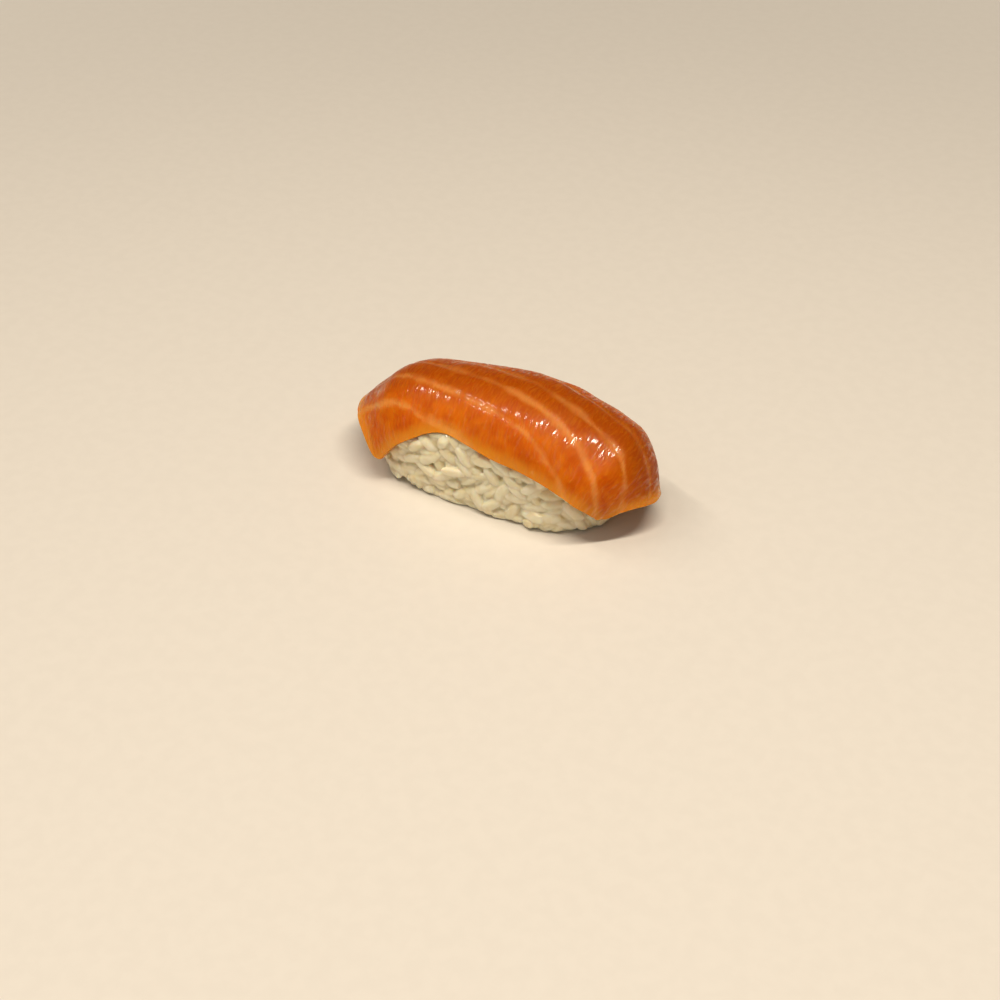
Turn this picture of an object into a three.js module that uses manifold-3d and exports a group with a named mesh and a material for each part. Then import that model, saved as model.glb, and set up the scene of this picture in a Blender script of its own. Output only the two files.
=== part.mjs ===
// Salmon nigiri: a pressed loaf of sushi rice under one draped slice of raw salmon.
// Millimetres. +X runs along the loaf, +Y across it towards the back, and +Z up.
// The origin is at the middle of the whole piece's underside.

import * as THREE from "three";
import { mergeVertices } from "three/addons/utils/BufferGeometryUtils.js";
import Module from "manifold-3d";

const wasm = await Module();
wasm.setup();

// ---- Driving dimensions ----------------------------------------------------

const CREST = { x: 3.1, height: 25.4 }; // highest point of the salmon
const CONTACT_GAP = 0.3; // air left between the salmon and the rice

// How the crest line falls away on each side of its highest point, in degrees over arc lengths:
// a first tilt, a steady curl for each millimetre, and a sharper bend over the loaf's shoulder.
// The sides hang square to a calmer line, which turns by sides.turn between its two arc lengths.
const CURL = {
  left: {
    tilt: 6.5,
    steady: 0.24,
    bend: 31,
    from: 22.7,
    to: 35.2,
    sides: { turn: 44, from: 8, to: 46 },
  },
  right: {
    tilt: 5.5,
    steady: 0.82,
    bend: 38.8,
    from: 19.4,
    to: 31.5,
    sides: { turn: 46, from: 4, to: 40 },
  },
};
const TILTED_BY = 8; // the arc length over which the first tilt comes in

// Arc lengths between which the slice changes from its middle's form to an end's.
const LEFT_END = { from: 23, to: 43 };
const RIGHT_END = { from: 21, to: 40 };

// How the slice bends across its width: the radius in the middle and at the two ends.
const ARCH = { middle: 13.6, left: 14.2, right: 6.8, steepest: 88 };

// The slice laid flat, measured from the crest. An end's slant makes its back corner longer and
// its front corner shorter, its point draws both corners back and its flare lets them out again.
// A side swells or draws in at one place, and changes by atLeft and atRight towards the ends.
const SLICE = {
  left: { reach: 44.1, slant: 3.2, point: 12.7, flare: 6.6 },
  right: { reach: 36.8, slant: 3.3, point: 8.3, flare: 4 },
  front: { reach: 18.3, swell: -3.75, at: -14.4, width: 9.3, atLeft: 1.2, atRight: -6.3 },
  back: { reach: 14, swell: 0.7, at: 10, width: 9, atLeft: 1.4, atRight: -4.6 },
  pointRounding: 0.3, // share of the half width over which an end's point is rounded
  thickness: 4.6,
  edgeThickness: 2,
  taper: 7, // the slice thins to its edge over this distance
  rimBulge: 0.45,
};

const LOAF = {
  centreX: -1,
  left: 26.5,
  right: 24.4,
  halfWidth: 12.9,
  widestAt: 7,
  height: 25, // of the shape before the salmon presses it down
  leftSquareness: 4.4,
  rightSquareness: 2.4,
  shoulder: 3,
  footTuck: 0.025, // share of the width lost at the foot
  spill: { x: 12, width: 3, size: 1.5, height: 5 }, // rice squeezed out at the front foot
};

// The core is drawn as rings at these heights, this far inside the loaf's skin.
const CORE = { inset: 0.8, around: 48, levels: [0, 1, 3, 6, 9, 12, 15, 17.5, 19.5, 21.5, 23] };

// Grains turn and lean by up to these degrees, and sizeSpread is a share of their size.
const GRAIN = {
  halfLength: 3.05,
  radius: 1.38,
  profile: [[0, -1], [0.8, -0.72], [1, 0], [0.8, 0.72], [0, 1]], // shares of the two above
  sides: 6,
  sizeSpread: 0.07,
  turn: 65,
  lean: 14,
  lowest: 0.4,
  highest: 19.4,
  spacing: 2.65,
  tries: 9000,
  seed: 7,
};

// How many cells the slice is divided into, and the coarser shape that it presses into the rice.
const GRID = { along: 42, across: 16 };
const PRESS_GRID = { along: 28, across: 12 };
const PRESS_RAISE = 30; // carries the press well above everything

const RICE_LOOK = { color: 0xe9e4d4, roughness: 0.45, metalness: 0 };
const SALMON_LOOK = { color: 0xe8702a, roughness: 0.3, metalness: 0 };

// ---- Small helpers -----------------------------------------------------------

const degrees = THREE.MathUtils.degToRad;
const { clamp, lerp, smoothstep } = THREE.MathUtils;
const bump = (x, centre, width) => Math.exp(-(((x - centre) / width) ** 2));
const towardsLeft = (along) => smoothstep(-along, LEFT_END.from, LEFT_END.to);
const towardsRight = (along) => smoothstep(along, RIGHT_END.from, RIGHT_END.to);

// A seeded source of numbers from 0 to 1.
function numberSource(seed) {
  let state = seed;
  return () => {
    state = (state + 0x6d2b79f5) | 0;
    let t = Math.imul(state ^ (state >>> 15), 1 | state);
    t = (t + Math.imul(t ^ (t >>> 7), 61 | t)) ^ t;
    return ((t ^ (t >>> 14)) >>> 0) / 2 ** 32;
  };
}

function geometryOf(positions, indices) {
  const geometry = new THREE.BufferGeometry();
  geometry.setAttribute("position", new THREE.Float32BufferAttribute(positions, 3));
  geometry.setIndex(indices);
  geometry.computeVertexNormals();
  return geometry;
}

function solidFrom(geometry) {
  const bare = geometry.clone();
  bare.deleteAttribute("normal");
  bare.deleteAttribute("uv");
  const merged = mergeVertices(bare, 1e-4);
  return new wasm.Manifold(
    new wasm.Mesh({
      numProp: 3,
      vertProperties: merged.attributes.position.array,
      triVerts: new Uint32Array(merged.index.array),
    }),
  );
}

function geometryFrom(solid) {
  const mesh = solid.getMesh();
  return geometryOf(Array.from(mesh.vertProperties), Array.from(mesh.triVerts));
}

// ---- The draped surface --------------------------------------------------------

// The slope of the crest line, in radians, at an arc length from the crest.
function slopeAt(along) {
  const curl = along < 0 ? CURL.left : CURL.right;
  const run = Math.abs(along);
  const tilt = curl.tilt * smoothstep(run, 0, TILTED_BY);
  return degrees(tilt + curl.steady * run + curl.bend * smoothstep(run, curl.from, curl.to));
}

// The direction that the sides hang from, in the XZ plane.
function upAt(along) {
  const { turn, from, to } = (along < 0 ? CURL.left : CURL.right).sides;
  const lean = degrees(turn * smoothstep(Math.abs(along), from, to)) * Math.sign(along);
  return new THREE.Vector3(Math.sin(lean), 0, Math.cos(lean));
}

// The crest line in the XZ plane, summed in short steps from the crest.
const CREST_STEP = 0.25;
const CREST_REACH = 60;
const crestLine = [-1, 1].map((side) => {
  const points = [{ x: CREST.x, z: CREST.height }];
  for (let run = CREST_STEP / 2; run < CREST_REACH; run += CREST_STEP) {
    const last = points[points.length - 1];
    const slope = slopeAt(side * run);
    points.push({
      x: last.x + side * CREST_STEP * Math.cos(slope),
      z: last.z - CREST_STEP * Math.sin(slope),
    });
  }
  return points;
});

function crestAt(along) {
  const points = crestLine[along < 0 ? 0 : 1];
  const place = Math.abs(along) / CREST_STEP;
  const index = Math.min(Math.floor(place), points.length - 2);
  const share = place - index;
  return {
    x: lerp(points[index].x, points[index + 1].x, share),
    z: lerp(points[index].z, points[index + 1].z, share),
  };
}

// A point of the salmon's upper face, from the distances along and across the flat slice.
// Across is negative at the front.
function drapedPoint(along, across) {
  const crest = crestAt(along);
  const tightening =
    (ARCH.middle - ARCH.left) * towardsLeft(along) +
    (ARCH.middle - ARCH.right) * towardsRight(along);
  const radius = ARCH.middle - tightening;
  const side = Math.sign(across);
  const reach = Math.abs(across);
  const angle = Math.min(reach / radius, degrees(ARCH.steepest));
  const hang = reach - angle * radius;
  const sideways = radius * Math.sin(angle) + hang * Math.cos(angle);
  const drop = radius * (1 - Math.cos(angle)) + hang * Math.sin(angle);
  return new THREE.Vector3(crest.x, side * sideways, crest.z).addScaledVector(upAt(along), -drop);
}

// The same point with the direction that the face looks in there.
function drape(along, across) {
  const step = 0.2;
  const ahead = drapedPoint(along + step, across).sub(drapedPoint(along - step, across));
  const over = drapedPoint(along, across + step).sub(drapedPoint(along, across - step));
  return { point: drapedPoint(along, across), normal: ahead.cross(over).normalize() };
}

// ---- The slice of salmon -------------------------------------------------------

// The distance from the crest line to the front or the back edge.
function sideReach({ reach, swell, at, width, atLeft, atRight }, along) {
  const ends = atLeft * towardsLeft(along) + atRight * towardsRight(along);
  return reach + swell * bump(along, at, width) + ends;
}

// How far an end reaches from the crest. Across runs from -1 at the front edge to 1 at the back.
function endReach({ reach, slant, point, flare }, across) {
  const corner = Math.hypot(across, SLICE.pointRounding) - SLICE.pointRounding;
  return reach + slant * across - point * corner + flare * across * across;
}

// A place on the flat slice, from shares of its length and width that run from 0 to 1.
function flatPlace(lengthShare, widthShare, grow) {
  const leftEnd = -endReach(SLICE.left, 2 * widthShare - 1) - grow;
  const rightEnd = endReach(SLICE.right, 2 * widthShare - 1) + grow;
  const along = lerp(leftEnd, rightEnd, lengthShare);
  const frontEdge = -sideReach(SLICE.front, along) - grow;
  const backEdge = sideReach(SLICE.back, along) + grow;
  const across = lerp(frontEdge, backEdge, widthShare);
  const toEnds = Math.min(along - leftEnd, rightEnd - along);
  const toSides = Math.min(across - frontEdge, backEdge - across);
  return { along, across, fromEdge: Math.min(toEnds, toSides) };
}

function thicknessAt(fromEdge) {
  const share = clamp(fromEdge / SLICE.taper, 0, 1);
  const rounded = Math.sqrt(1 - (1 - share) ** 2);
  return lerp(SLICE.edgeThickness, SLICE.thickness, rounded);
}

// The closed slab between two sheets that follow the drape. Raise lifts its upper sheet and
// sink lowers its lower one; grow moves its edges out.
function slabGeometry({ along, across, raise = 0, sink = 0, grow = 0, bulge = 0 }) {
  const positions = [];
  const indices = [];
  const [top, bottom] = [true, false].map((upper) => {
    const rows = [];
    for (let i = 0; i <= along; i++) {
      const row = [];
      for (let j = 0; j <= across; j++) {
        const place = flatPlace(i / along, j / across, grow);
        const { point, normal } = drape(place.along, place.across);
        const depth = upper ? -raise : thicknessAt(place.fromEdge) + sink;
        point.addScaledVector(normal, -depth);
        row.push(positions.length / 3);
        positions.push(point.x, point.y, point.z);
      }
      rows.push(row);
    }
    return rows;
  });
  const quad = (a, b, c, d) => indices.push(a, b, c, a, c, d);
  for (let i = 0; i < along; i++) {
    for (let j = 0; j < across; j++) {
      quad(top[i][j], top[i + 1][j], top[i + 1][j + 1], top[i][j + 1]);
      quad(bottom[i][j], bottom[i][j + 1], bottom[i + 1][j + 1], bottom[i + 1][j]);
    }
  }
  addRim({ positions, quad, top, bottom, bulge });
  return geometryOf(positions, indices);
}

// Walks round the two sheets' edges and closes them with a rim, which bulges out by one row.
function addRim({ positions, quad, top, bottom, bulge }) {
  const last = { i: top.length - 1, j: top[0].length - 1 };
  const walk = [];
  for (let i = 0; i < last.i; i++) walk.push([i, 0]);
  for (let j = 0; j < last.j; j++) walk.push([last.i, j]);
  for (let i = last.i; i > 0; i--) walk.push([i, last.j]);
  for (let j = last.j; j > 0; j--) walk.push([0, j]);
  const pointOf = (index) => new THREE.Vector3().fromArray(positions, 3 * index);
  const middle = walk.map(([i, j]) => {
    const inwardI = clamp(i, 1, last.i - 1);
    const inwardJ = clamp(j, 1, last.j - 1);
    const edge = pointOf(top[i][j]).lerp(pointOf(bottom[i][j]), 0.5);
    const inner = pointOf(top[inwardI][inwardJ]).lerp(pointOf(bottom[inwardI][inwardJ]), 0.5);
    const out = edge.clone().sub(inner).normalize();
    edge.addScaledVector(out, bulge);
    positions.push(edge.x, edge.y, edge.z);
    return positions.length / 3 - 1;
  });
  walk.forEach(([i, j], k) => {
    const next = (k + 1) % walk.length;
    const [ni, nj] = walk[next];
    quad(top[i][j], middle[k], middle[next], top[ni][nj]);
    quad(middle[k], bottom[i][j], bottom[ni][nj], middle[next]);
  });
}

// ---- The loaf of rice ----------------------------------------------------------

// A point of the loaf's skin: angle runs round the footprint, level is its height.
function loafSkin(angle, level, inset = 0) {
  const right = Math.cos(angle) > 0;
  const halfLength = (right ? LOAF.right : LOAF.left) - inset;
  const halfWidth = LOAF.halfWidth - inset;
  const power = right ? LOAF.rightSquareness : LOAF.leftSquareness;
  const cos = Math.cos(angle);
  const sin = Math.sin(angle);
  const reach = (Math.abs(cos) ** power + Math.abs(sin) ** power) ** (-1 / power);
  const above = (level - LOAF.widestAt) / (LOAF.height - inset - LOAF.widestAt);
  const below = 1 - level / LOAF.widestAt;
  const narrowing =
    level > LOAF.widestAt
      ? Math.max(0, 1 - above ** LOAF.shoulder) ** (1 / LOAF.shoulder)
      : 1 - LOAF.footTuck * below * below;
  const x = LOAF.centreX + halfLength * reach * cos * narrowing;
  const { spill } = LOAF;
  const spilt = sin < 0 ? spill.size * bump(x, spill.x, spill.width) : 0;
  const y = halfWidth * reach * sin * narrowing - spilt * bump(level, 0, spill.height);
  return new THREE.Vector3(x, y, level);
}

// The smooth core, as rings of the skin closed by a point at the top and at the foot.
function coreGeometry() {
  const { inset, around, levels } = CORE;
  const positions = [LOAF.centreX, 0, 0, LOAF.centreX, 0, LOAF.height - inset];
  const indices = [];
  const vertex = (ring, k) => 2 + ring * around + (k % around);
  levels.forEach((level) => {
    for (let k = 0; k < around; k++) {
      const p = loafSkin((2 * Math.PI * k) / around, level, inset);
      positions.push(p.x, p.y, p.z);
    }
  });
  const lastRing = levels.length - 1;
  for (let k = 0; k < around; k++) {
    indices.push(0, vertex(0, k + 1), vertex(0, k));
    indices.push(1, vertex(lastRing, k), vertex(lastRing, k + 1));
    for (let ring = 0; ring < lastRing; ring++) {
      const [a, b] = [vertex(ring, k), vertex(ring, k + 1)];
      const [c, d] = [vertex(ring + 1, k + 1), vertex(ring + 1, k)];
      indices.push(a, b, c, a, c, d);
    }
  }
  return geometryOf(positions, indices);
}

// Where one grain lies: just under the skin, turned at random within it.
function grainPose(random) {
  const spread = (limit) => lerp(-limit, limit, random());
  const angle = 2 * Math.PI * random();
  const level = lerp(GRAIN.lowest, GRAIN.highest, random());
  const size = 1 + spread(GRAIN.sizeSpread);
  const turn = degrees(spread(GRAIN.turn));
  const lean = degrees(spread(GRAIN.lean));
  const skin = loafSkin(angle, level);
  const ahead = loafSkin(angle + 0.01, level).sub(skin).normalize();
  const higher = loafSkin(angle, level + 0.05).sub(skin).normalize();
  const out = ahead.clone().cross(higher).normalize();
  const centre = skin.addScaledVector(out, -GRAIN.radius * size);
  const length = ahead.applyAxisAngle(out, turn).addScaledVector(out, Math.tan(lean)).normalize();
  const scale = new THREE.Vector3(GRAIN.radius, GRAIN.halfLength, GRAIN.radius);
  const pose = new THREE.Matrix4().compose(
    centre,
    new THREE.Quaternion().setFromUnitVectors(new THREE.Vector3(0, 1, 0), length),
    scale.multiplyScalar(size),
  );
  return { centre, pose };
}

// Grains spread over the skin, none closer to another than the spacing.
function grainSolids() {
  const random = numberSource(GRAIN.seed);
  const outline = GRAIN.profile.map(([radius, height]) => new THREE.Vector2(radius, height));
  const shape = new THREE.LatheGeometry(outline, GRAIN.sides);
  const placed = [];
  for (let n = 0; n < GRAIN.tries; n++) {
    const grain = grainPose(random);
    const crowded = placed.some((other) => other.centre.distanceTo(grain.centre) < GRAIN.spacing);
    if (!crowded) placed.push(grain);
  }
  return placed.map((grain) => solidFrom(shape.clone().applyMatrix4(grain.pose)));
}

function riceGeometry() {
  // Everything that the salmon takes up or lies above is kept free of rice.
  const grow = CONTACT_GAP + SLICE.rimBulge;
  const press = slabGeometry({ ...PRESS_GRID, raise: PRESS_RAISE, sink: CONTACT_GAP, grow });
  const pressed = solidFrom(press);
  const table = new THREE.BoxGeometry(200, 200, 40).translate(0, 0, -20);
  const mostlyFree = (grain) => grain.intersect(pressed).volume() < grain.volume() / 2;
  const whole = grainSolids()
    .filter(mostlyFree)
    .reduce((sum, grain) => sum.add(grain), solidFrom(coreGeometry()))
    .subtract(pressed)
    .subtract(solidFrom(table));
  // The largest body is the loaf. What falls away is a loose scrap or a sealed bubble.
  const bodies = whole.decompose();
  bodies.sort((a, b) => b.volume() - a.volume());
  return geometryFrom(bodies[0]);
}

// ---- The piece -------------------------------------------------------------------

const rice = new THREE.Mesh(riceGeometry(), new THREE.MeshStandardMaterial(RICE_LOOK));
rice.name = "rice";

const slab = slabGeometry({ ...GRID, bulge: SLICE.rimBulge });
const salmon = new THREE.Mesh(slab, new THREE.MeshStandardMaterial(SALMON_LOOK));
salmon.name = "salmon";

const nigiri = new THREE.Group();
nigiri.add(rice, salmon);

// The middle of the underside becomes the origin.
const box = new THREE.Box3().setFromObject(nigiri);
const middle = box.getCenter(new THREE.Vector3());
nigiri.position.set(-middle.x, -middle.y, -box.min.z);

export default nigiri;
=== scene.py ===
# %% [markdown]
# # Salmon nigiri
# Nigiri is a small loaf of vinegared rice, pressed in the hand or in a mould, with a slice of raw fish
# laid over it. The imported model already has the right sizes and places, but its grains are coarse and
# its slice is plain. This lesson keeps its shape and gives both pieces their real surface.

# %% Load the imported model
import math

import bmesh
import bpy
import numpy as np
from mathutils import Matrix, Vector
from mathutils.bvhtree import BVHTree
from mathutils.kdtree import KDTree


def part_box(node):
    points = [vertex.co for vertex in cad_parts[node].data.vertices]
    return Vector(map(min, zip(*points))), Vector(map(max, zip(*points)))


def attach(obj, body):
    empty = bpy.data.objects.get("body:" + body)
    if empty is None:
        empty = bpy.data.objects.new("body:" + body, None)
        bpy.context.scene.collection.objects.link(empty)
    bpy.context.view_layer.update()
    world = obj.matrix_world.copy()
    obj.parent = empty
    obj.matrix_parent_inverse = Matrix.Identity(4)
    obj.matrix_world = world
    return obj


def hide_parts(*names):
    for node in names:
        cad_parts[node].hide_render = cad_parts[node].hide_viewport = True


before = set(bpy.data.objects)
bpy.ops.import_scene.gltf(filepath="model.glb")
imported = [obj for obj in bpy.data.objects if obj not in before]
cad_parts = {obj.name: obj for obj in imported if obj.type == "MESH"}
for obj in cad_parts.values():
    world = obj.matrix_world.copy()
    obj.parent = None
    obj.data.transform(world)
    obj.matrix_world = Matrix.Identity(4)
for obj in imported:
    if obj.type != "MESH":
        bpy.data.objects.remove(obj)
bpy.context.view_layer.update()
MM = 0.001

# %% [markdown]
# ## Small helpers
# The fish, the loaf and the single grain start as arrays of points and faces. Formulas fill those
# faster and more evenly than a hand could, and a few helpers turn them into objects and back.


# %% Meshes from arrays
def new_object(name, data):
    """An object of the scene that holds this data."""
    thing = bpy.data.objects.new(name, data)
    bpy.context.scene.collection.objects.link(thing)
    return thing


def mesh_object(name, points, faces, smooth=True):
    """An object whose mesh has these points, in millimetres."""
    mesh = bpy.data.meshes.new(name)
    mesh.from_pydata((np.asarray(points) * MM).tolist(), [], faces)
    mesh.polygons.foreach_set("use_smooth", [smooth] * len(mesh.polygons))
    mesh.update()
    return new_object(name, mesh)


def points_of(mesh):
    """The mesh's points as an array, in millimetres."""
    flat = np.zeros(3 * len(mesh.vertices))
    mesh.vertices.foreach_get("co", flat)
    return flat.reshape(-1, 3) / MM


def triangles_of(mesh):
    return sum(len(face.vertices) - 2 for face in mesh.polygons)


# %% [markdown]
# ## How the slice drapes
# A slice of salmon is a soft slab. It could be simulated as cloth, but then it would end up a little
# elsewhere than the model's own slice. Here it follows the same rule instead: a crest line curls down
# towards both ends, and from it the slab arches over the loaf to the front and to the back. Distances
# along and across the flat slice then say where every point of it ends up.

# %% Driving dimensions of the slice, in millimetres and degrees
CREST = {"x": 3.1, "height": 25.4}
# Towards each end the crest tilts, slopes a steady amount more for every millimetre, and bends down
# over one stretch. Over another stretch the arch across it turns to face that end.
TILTED_BY = 8
CURL = {
    "left": {"tilt": 6.5, "steady": 0.24, "bend": 31, "turn": 44},
    "right": {"tilt": 5.5, "steady": 0.82, "bend": 38.8, "turn": 46},
}
BEND_OVER = {"left": (22.7, 35.2), "right": (19.4, 31.5)}
TURN_OVER = {"left": (8, 46), "right": (4, 40)}
# The arch's radius changes from the middle's to an end's between that end's two distances.
LEFT_END = (23, 43)
RIGHT_END = (21, 40)
ARCH = {"middle": 13.6, "left": 14.2, "right": 6.8, "steepest": 88}
# Each end runs out to a blunt point, which is this much ahead of its corners. Slant moves the back
# corner out and the front one in, and flare curves the cut edges between.
ENDS = {
    "left": {"reach": 44.1, "slant": 3.2, "point": 12.7, "flare": 6.6},
    "right": {"reach": 36.8, "slant": 3.3, "point": 8.3, "flare": 4},
}
POINT_ROUNDING = 0.3
# Each side reaches further, or less far, at both ends, and swells out or draws in round one place.
SIDES = {
    "front": {"reach": 18.3, "left": 1.2, "right": -6.3},
    "back": {"reach": 14, "left": 1.4, "right": -4.6},
}
SWELLS = {
    "front": {"size": -3.75, "at": -14.4, "width": 9.3},
    "back": {"size": 0.7, "at": 10, "width": 9},
}
THICKNESS = {"middle": 4.6, "edge": 2, "taper": 7}
RIM_BULGE = 0.45
CORNER_RADIUS = 1.8

# %% The crest of the slice
CREST_STEP = 0.1
LONGEST_RUN = 60


def smooth_step(value, start, end):
    """0 up to the start, 1 from the end on, and a smooth S between them."""
    share = np.clip((value - start) / (end - start), 0, 1)
    return share * share * (3 - 2 * share)


def crest_line(side):
    """The crest's arc lengths, x and z on one side of its highest point."""
    curl = CURL[side]
    run = np.arange(CREST_STEP / 2, LONGEST_RUN, CREST_STEP)
    tilt = curl["tilt"] * smooth_step(run, 0, TILTED_BY)
    bend = curl["bend"] * smooth_step(run, *BEND_OVER[side])
    slope = np.radians(tilt + curl["steady"] * run + bend)
    ahead = np.concatenate([[0], np.cumsum(CREST_STEP * np.cos(slope))])
    down = np.concatenate([[0], np.cumsum(CREST_STEP * np.sin(slope))])
    sign = -1 if side == "left" else 1
    return CREST_STEP * np.arange(len(ahead)), CREST["x"] + sign * ahead, CREST["height"] - down


CREST_LINES = {side: crest_line(side) for side in CURL}
print("crest:", {side: len(line[0]) for side, line in CREST_LINES.items()}, "points")


# %% The draped surface
def towards_ends(along, left, right):
    """0 in the middle of the slice, and these values at its ends."""
    return left * smooth_step(-along, *LEFT_END) + right * smooth_step(along, *RIGHT_END)


def draped(along, across):
    """Points of the slice's upper face. Across is negative at the front."""
    run = np.abs(along)
    left = along < 0
    x, z = (
        np.where(left, *[np.interp(run, CREST_LINES[side][0], CREST_LINES[side][k]) for side in CURL])
        for k in (1, 2)
    )
    turn = [CURL[side]["turn"] * smooth_step(run, *TURN_OVER[side]) for side in CURL]
    lean = np.radians(np.where(left, -turn[0], turn[1]))
    middle = ARCH["middle"]
    radius = middle + towards_ends(along, ARCH["left"] - middle, ARCH["right"] - middle)
    reach = np.abs(across)
    angle = np.minimum(reach / radius, math.radians(ARCH["steepest"]))
    hang = reach - angle * radius
    sideways = radius * np.sin(angle) + hang * np.cos(angle)
    drop = radius * (1 - np.cos(angle)) + hang * np.sin(angle)
    return np.stack([x - drop * np.sin(lean), np.sign(across) * sideways, z - drop * np.cos(lean)], -1)


def normals(along, across, step=0.2):
    """The directions that the upper face looks in."""
    ahead = draped(along + step, across) - draped(along - step, across)
    over = draped(along, across + step) - draped(along, across - step)
    out = np.cross(ahead, over)
    return out / np.linalg.norm(out, axis=-1, keepdims=True)


tips = draped(np.array([-ENDS["left"]["reach"], ENDS["right"]["reach"]]), np.zeros(2))
print("the crest ends at", tips.round(1).tolist(), "mm")


# %% The outline of the flat slice
def end_reach(side, share):
    """How far an end reaches from the crest, where share runs from -1 at the front to 1."""
    end = ENDS[side]
    corner = np.hypot(share, POINT_ROUNDING) - POINT_ROUNDING
    return end["reach"] + end["slant"] * share - end["point"] * corner + end["flare"] * share**2


def side_reach(side, along):
    """How far a side reaches from the crest, at these distances along it."""
    edge, swell = SIDES[side], SWELLS[side]
    swollen = swell["size"] * np.exp(-(((along - swell["at"]) / swell["width"]) ** 2))
    return edge["reach"] + swollen + towards_ends(along, edge["left"], edge["right"])


# %% Places on the flat slice
def round_corners(to_end, to_side):
    """Bends a sheet's square corners into round ones: the new distances to its end and its side."""
    a = np.clip(1 - to_end / CORNER_RADIUS, 0, 1)
    b = np.clip(1 - to_side / CORNER_RADIUS, 0, 1)
    near_corner = (a > 0) & (b > 0)
    return (
        np.where(near_corner, CORNER_RADIUS * (1 - a * np.sqrt(1 - b * b / 2)), to_end),
        np.where(near_corner, CORNER_RADIUS * (1 - b * np.sqrt(1 - a * a / 2)), to_side),
    )


def flat_places(cells_along, cells_across, grow=0.0):
    """Distances along and across the slice, and to its nearest edge, for a grid of cells."""
    length_share, width_share = np.meshgrid(
        np.linspace(0, 1, cells_along + 1), np.linspace(0, 1, cells_across + 1), indexing="ij"
    )
    left_end = -end_reach("left", 2 * width_share - 1) - grow
    right_end = end_reach("right", 2 * width_share - 1) + grow
    along = left_end + (right_end - left_end) * length_share
    front = -side_reach("front", along) - grow
    back = side_reach("back", along) + grow
    across = front + (back - front) * width_share
    to_end = np.minimum(along - left_end, right_end - along)
    to_side = np.minimum(across - front, back - across)
    new_to_end, new_to_side = round_corners(to_end, to_side)
    along = along + np.where(length_share < 0.5, 1, -1) * (new_to_end - to_end)
    across = across + np.where(width_share < 0.5, 1, -1) * (new_to_side - to_side)
    in_corner = (new_to_end < CORNER_RADIUS) & (new_to_side < CORNER_RADIUS)
    from_corner = CORNER_RADIUS - np.hypot(CORNER_RADIUS - new_to_end, CORNER_RADIUS - new_to_side)
    from_edge = np.where(in_corner, from_corner, np.minimum(new_to_end, new_to_side))
    return along, across, np.clip(from_edge, 0, None)


along, across, from_edge = flat_places(80, 20)
length = np.ptp(along, axis=0)[len(along[0]) // 2]
width = np.ptp(across, axis=1)[len(across) // 2]
print("flat slice:", length.round(1), "mm along its middle and", width.round(1), "mm across it")


# %% How thick the slice is
def thickness_at(from_edge):
    """The slice thickens from its edge inwards, along a quarter of an ellipse."""
    share = np.clip(from_edge / THICKNESS["taper"], 0, 1)
    return THICKNESS["edge"] + (THICKNESS["middle"] - THICKNESS["edge"]) * np.sqrt(1 - (1 - share) ** 2)


thickness = thickness_at(from_edge)
print("thickness: from", thickness.min().round(1), "to", thickness.max().round(1), "mm")

# %% [markdown]
# ## Fat lines
# Salmon is built of muscle layers with a thin sheet of fat between each two. A slice cuts them at a
# slant, so they show as pale lines that run gently along the slice and bend down towards its front.
# They could be painted by a wave texture, but real ones are spaced unevenly. So each line is named by
# the place where it bends, and every point of the slice gets a layer number: it is a whole number on a
# line and grows evenly from one line to the next. Both the relief and the colour read that number.

# %% Where the fat lines run
# Each bend is a distance along the slice and one across it.
FAT_BENDS = [(-46, -20), (-10.3, -13.8), (6.6, -10.8), (14.5, -6.8)]
FAT_BENDS += [(24.1, -4.1), (33, -0.3), (42, 3.4), (51, 7.4)]
FAT_SLOPE = {"before": 0.23, "after": 0.65, "softness": 2.4}
SLOPE_STEP = 0.5


def fat_lines(along):
    """How far across each fat line is, for the distances along the slice."""
    lines = []
    for bend_along, bend_across in FAT_BENDS:
        past = along - bend_along
        bent = FAT_SLOPE["softness"] * np.logaddexp(0, past / FAT_SLOPE["softness"])
        steeper = FAT_SLOPE["after"] - FAT_SLOPE["before"]
        lines.append(bend_across - FAT_SLOPE["before"] * past - steeper * bent)
    return lines


def fat_layers(along, across):
    """The layer number of each place, and the spacing of the lines round it in millimetres."""
    lines = fat_lines(along)
    ahead = fat_lines(along + SLOPE_STEP)
    layer = np.zeros_like(along)
    spacing = np.ones_like(along)
    last = len(lines) - 2
    for k, (low, high) in enumerate(zip(lines, lines[1:])):
        inside = (across >= low if k else True) & (across < high if k < last else True)
        slope = (ahead[k] - low) / SLOPE_STEP
        layer = np.where(inside, k + (across - low) / (high - low), layer)
        spacing = np.where(inside, (high - low) / np.hypot(1, slope), spacing)
    return layer, spacing


print(len(FAT_BENDS), "fat lines,", fat_layers(along, across)[1].mean().round(1), "mm apart on average")

# %% [markdown]
# ## The slice
# The mesh is two sheets of the same grid, the lower one set in by the slice's thickness, with a
# rounded rim between their edges. What a finger would feel is in the mesh: a shallow furrow at each
# fat line, the bundles of fibre that run across the slice, and a slow swell over the whole of it.

# %% Relief of the slice
RELIEF = {
    "swell": 0.1,
    "swell_size": 11.0,
    "furrow": 0.10,
    "furrow_width": 0.55,
    "fibre": 0.02,
    "fibre_size": 0.95,
    "fibre_slant": 0.12,
    "fibre_stretch": 5.0,
    "patch_size": 7.0,
    "smooth_edge": 1.5,
}
RIPPLES = {"waves": 14, "fineness": (0.6, 1.5), "peak": 1.6}


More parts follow.
